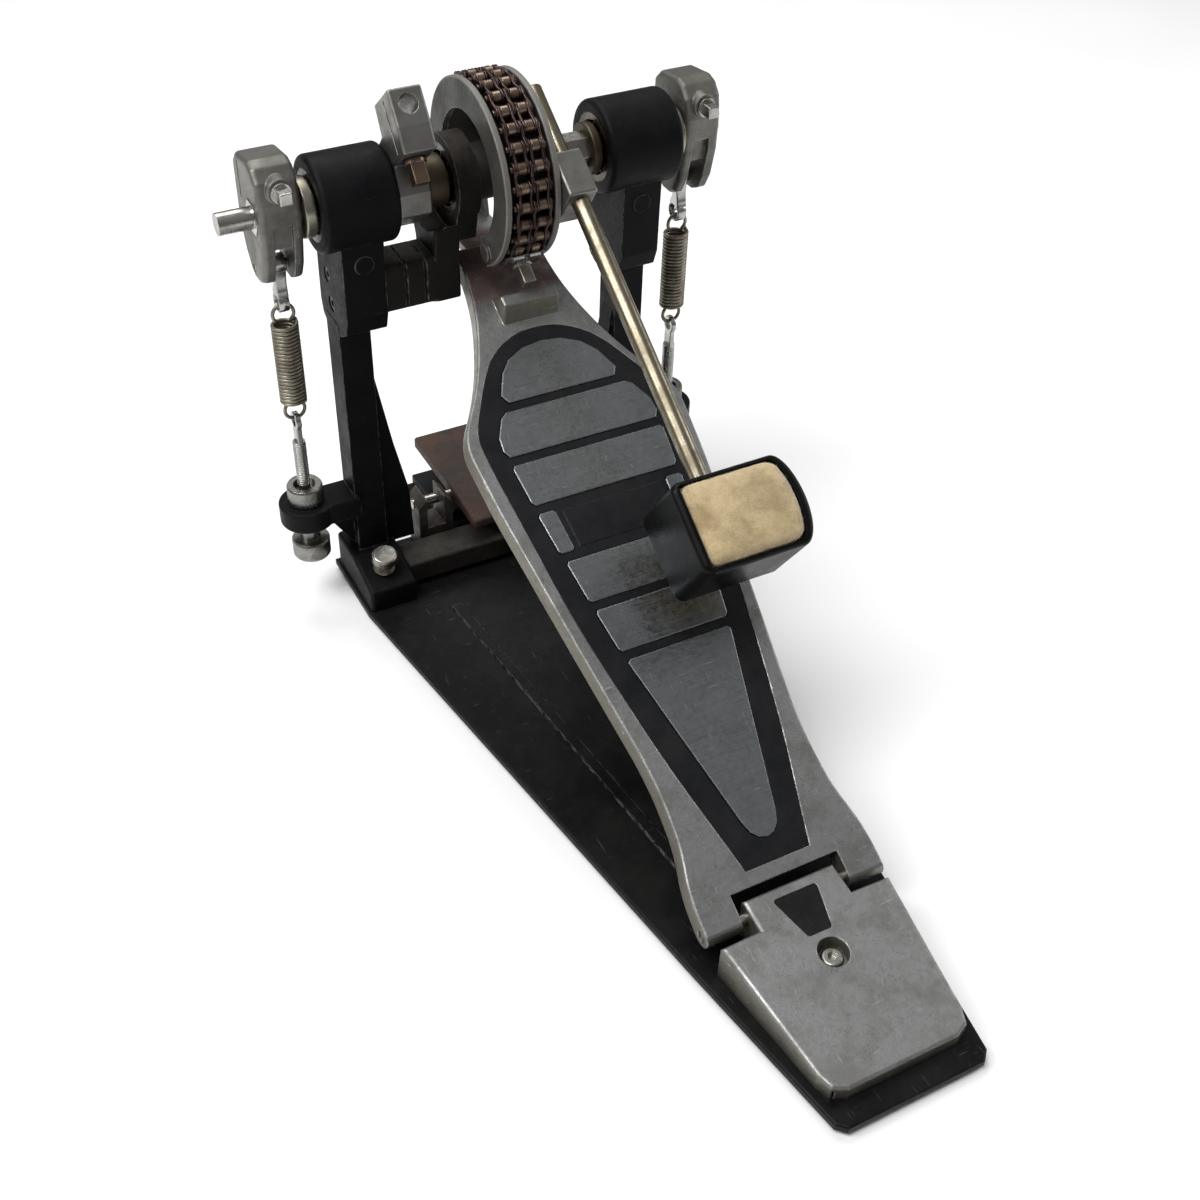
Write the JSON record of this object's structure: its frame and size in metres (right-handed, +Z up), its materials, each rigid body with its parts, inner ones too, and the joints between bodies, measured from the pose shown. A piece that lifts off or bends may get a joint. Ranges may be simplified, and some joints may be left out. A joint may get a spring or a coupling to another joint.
{
  "type": "bass drum pedal",
  "caption": "Chain-drive bass drum pedal with a sloping cast footboard, split axle in ball bearings, return springs, felt beater, hoop clamp and a stub for a linked second pedal.",
  "frame": {"origin": "on the floor under the middle of the axle, on the footboard's centre line", "axes": "+X to the player's right along the axle, +Y towards the drum, +Z up"},
  "size_m": [0.2325, 0.4195, 0.2541],
  "materials": {
    "black_plate": "scuffed black paint",
    "grip_rubber": "ribbed rubber",
    "black_frame": "matte black powder coat",
    "cast_board": "worn casting",
    "cast_heel": "worn casting",
    "black_inset": "satin",
    "grip_strips": "brushed",
    "dark_insert": "satin",
    "dark_screws": "blackened steel",
    "steel": "machined",
    "bright": "polished plating",
    "cast_zinc": "satin zinc casting",
    "hub_metal": "satin casting",
    "wheel_metal": "satin casting",
    "chain_plate": "dark browned steel",
    "chain_roller": "browned steel",
    "rod_steel": "aged nickel",
    "shell_plastic": "semi gloss",
    "felt": "wool felt",
    "spring_wire": "aged wire",
    "race_steel": "ground",
    "nut_nickel": "knurled nickel",
    "clamp_rust": "worn black over brown",
    "lug_worn": "worn casting"
  },
  "bodies": {
    "frame": {"base_fixing_screws": "dark_screws", "base_grip_pad": "grip_rubber", "base_plate": "black_plate", "bearing_balls": "race_steel", "bearing_outer_races": "race_steel", "centre_bearing_bracket": "black_frame", "crossbar": "black_frame", "frame_screws": "dark_screws", "heel_hinge_pin": "steel", "heel_plate": "cast_heel", "heel_plate_insert": "dark_insert", "heel_plate_screw": "steel", "hoop_clamp_lugs": "lug_worn", "hoop_clamp_pin": "steel", "hoop_seat_pad": "black_inset", "left_bearing_housing": "black_frame", "right_bearing_housing": "black_frame", "left_post": "black_frame", "right_post": "black_frame", "spur_springs": "spring_wire"},
    "board": {"footboard": "cast_board", "footboard_grip_plates": "grip_strips", "footboard_rubber_inset": "black_inset", "chain_anchor_tongue": "cast_board", "chain_anchor_fasteners": "steel"},
    "drive_shaft": {"drive_axle": "steel", "drive_axle_collars": "bright", "drive_inner_races": "race_steel", "drive_key_bolts": "steel", "main_beater_hub": "hub_metal", "chain_wheel": "wheel_metal", "chain_wrapped_plates": "chain_plate", "chain_wrapped_rollers": "chain_roller", "chain_clip": "bright", "chain_clip_bolt": "steel", "right_rocker": "cast_zinc", "right_link_pin": "steel"},
    "linked_shaft": {"linked_axle": "steel", "linked_axle_collars": "bright", "linked_inner_races": "race_steel", "linked_key_bolts": "steel", "linked_beater_hub": "hub_metal", "left_rocker": "cast_zinc", "left_link_pin": "steel"},
    "chain_strand": {"chain_strand_links": "chain_plate"},
    "right_link": {"right_spring_link": "bright"},
    "left_link": {"left_spring_link": "bright"},
    "rod": {"beater_rod": "rod_steel"},
    "head": {"beater_head_shell": "shell_plastic", "beater_felt_pads": "felt"},
    "right_nuts": {"right_tension_nuts": "nut_nickel"},
    "left_nuts": {"left_tension_nuts": "nut_nickel"},
    "right_eye": {"right_eye_bolt": "bright", "right_spring": "spring_wire"},
    "left_eye": {"left_eye_bolt": "bright", "left_spring": "spring_wire"},
    "right_spur": {"right_spur_screw": "steel"},
    "left_spur": {"left_spur_screw": "steel"},
    "hoop_jaw": {"hoop_clamp_jaw": "clamp_rust"},
    "hoop_screw": {"hoop_clamp_screw": "steel"}
  },
  "joints": [
    {"name": "footboard_press", "type": "hinge", "parent": "frame", "child": "board", "pos_m": [0, -0.2702, 0.0182], "axis": [-1, 0, 0], "range_deg": [0, 14.5]},
    {"name": "drive_axle_turn", "type": "hinge", "parent": "frame", "child": "drive_shaft", "pos_m": [0, 0, 0.208], "axis": [-1, 0, 0], "range_deg": [0, 125], "deforming": ["right_spring"]},
    {"name": "chain_strand_swing", "type": "hinge", "parent": "board", "child": "chain_strand", "pos_m": [0, 0.03827, 0.176], "axis": [-1, 0, 0], "range_deg": [-29.5, 0], "deforming": ["chain_strand_links"]},
    {"name": "right_link_swing", "type": "hinge", "parent": "drive_shaft", "child": "right_link", "pos_m": [0.0975, 0.0065, 0.182], "axis": [-1, 0, 0], "range_deg": [-140.2, 0]},
    {"name": "linked_axle_turn", "type": "hinge", "parent": "frame", "child": "linked_shaft", "pos_m": [0, 0, 0.208], "axis": [-1, 0, 0], "range_deg": [0, 125], "deforming": ["left_spring"]},
    {"name": "left_link_swing", "type": "hinge", "parent": "linked_shaft", "child": "left_link", "pos_m": [-0.0975, 0.0065, 0.182], "axis": [-1, 0, 0], "range_deg": [-140.2, 0]},
    {"name": "beater_height", "type": "slide", "parent": "drive_shaft", "child": "rod", "axis": [0, -0.832, -0.5548], "range_m": [-0.012, 0.012]},
    {"name": "beater_face_turn", "type": "hinge", "parent": "rod", "child": "head", "pos_m": [0.0194, -0.01332, 0.22797], "axis": [0, -0.832, -0.5548], "continuous": true},
    {"name": "left_tension_nut_turn", "type": "hinge", "parent": "frame", "child": "left_nuts", "pos_m": [-0.0975, 0.0065, 0.05], "axis": [0, 0, 1], "range_deg": [-1450, 1450]},
    {"name": "left_eye_bolt_slide", "type": "slide", "parent": "frame", "child": "left_eye", "axis": [0, 0, 1], "range_m": [-0.004, 0.004]},
    {"name": "left_spur_feed", "type": "slide", "parent": "frame", "child": "left_spur", "axis": [0, -0.2419, 0.9703], "range_m": [0, 0.006]},
    {"name": "right_tension_nut_turn", "type": "hinge", "parent": "frame", "child": "right_nuts", "pos_m": [0.0975, 0.0065, 0.05], "axis": [0, 0, 1], "range_deg": [-1450, 1450]},
    {"name": "right_eye_bolt_slide", "type": "slide", "parent": "frame", "child": "right_eye", "axis": [0, 0, 1], "range_m": [-0.004, 0.004]},
    {"name": "right_spur_feed", "type": "slide", "parent": "frame", "child": "right_spur", "axis": [0, -0.2419, 0.9703], "range_m": [0, 0.006]},
    {"name": "hoop_jaw_close", "type": "hinge", "parent": "frame", "child": "hoop_jaw", "pos_m": [0, 0.013, 0.031], "axis": [-1, 0, 0], "range_deg": [0, 6]},
    {"name": "hoop_screw_feed", "type": "slide", "parent": "hoop_jaw", "child": "hoop_screw", "axis": [0, 0, -1], "range_m": [0, 0.0025]}
  ],
  "couplings": [
    {"joint": "drive_axle_turn", "follows": "footboard_press", "ratio": 8.6},
    {"joint": "chain_strand_swing", "follows": "footboard_press", "ratio": -2},
    {"joint": "right_link_swing", "follows": "footboard_press", "ratio": -9.63},
    {"joint": "left_link_swing", "follows": "linked_axle_turn", "ratio": -1.12},
    {"joint": "left_tension_nut_turn", "follows": "left_eye_bolt_slide", "rad_per_m": 6283.2},
    {"joint": "right_tension_nut_turn", "follows": "right_eye_bolt_slide", "rad_per_m": 6283.2},
    {"joint": "hoop_screw_feed", "follows": "hoop_jaw_close", "m_per_rad": 0.018}
  ]
}
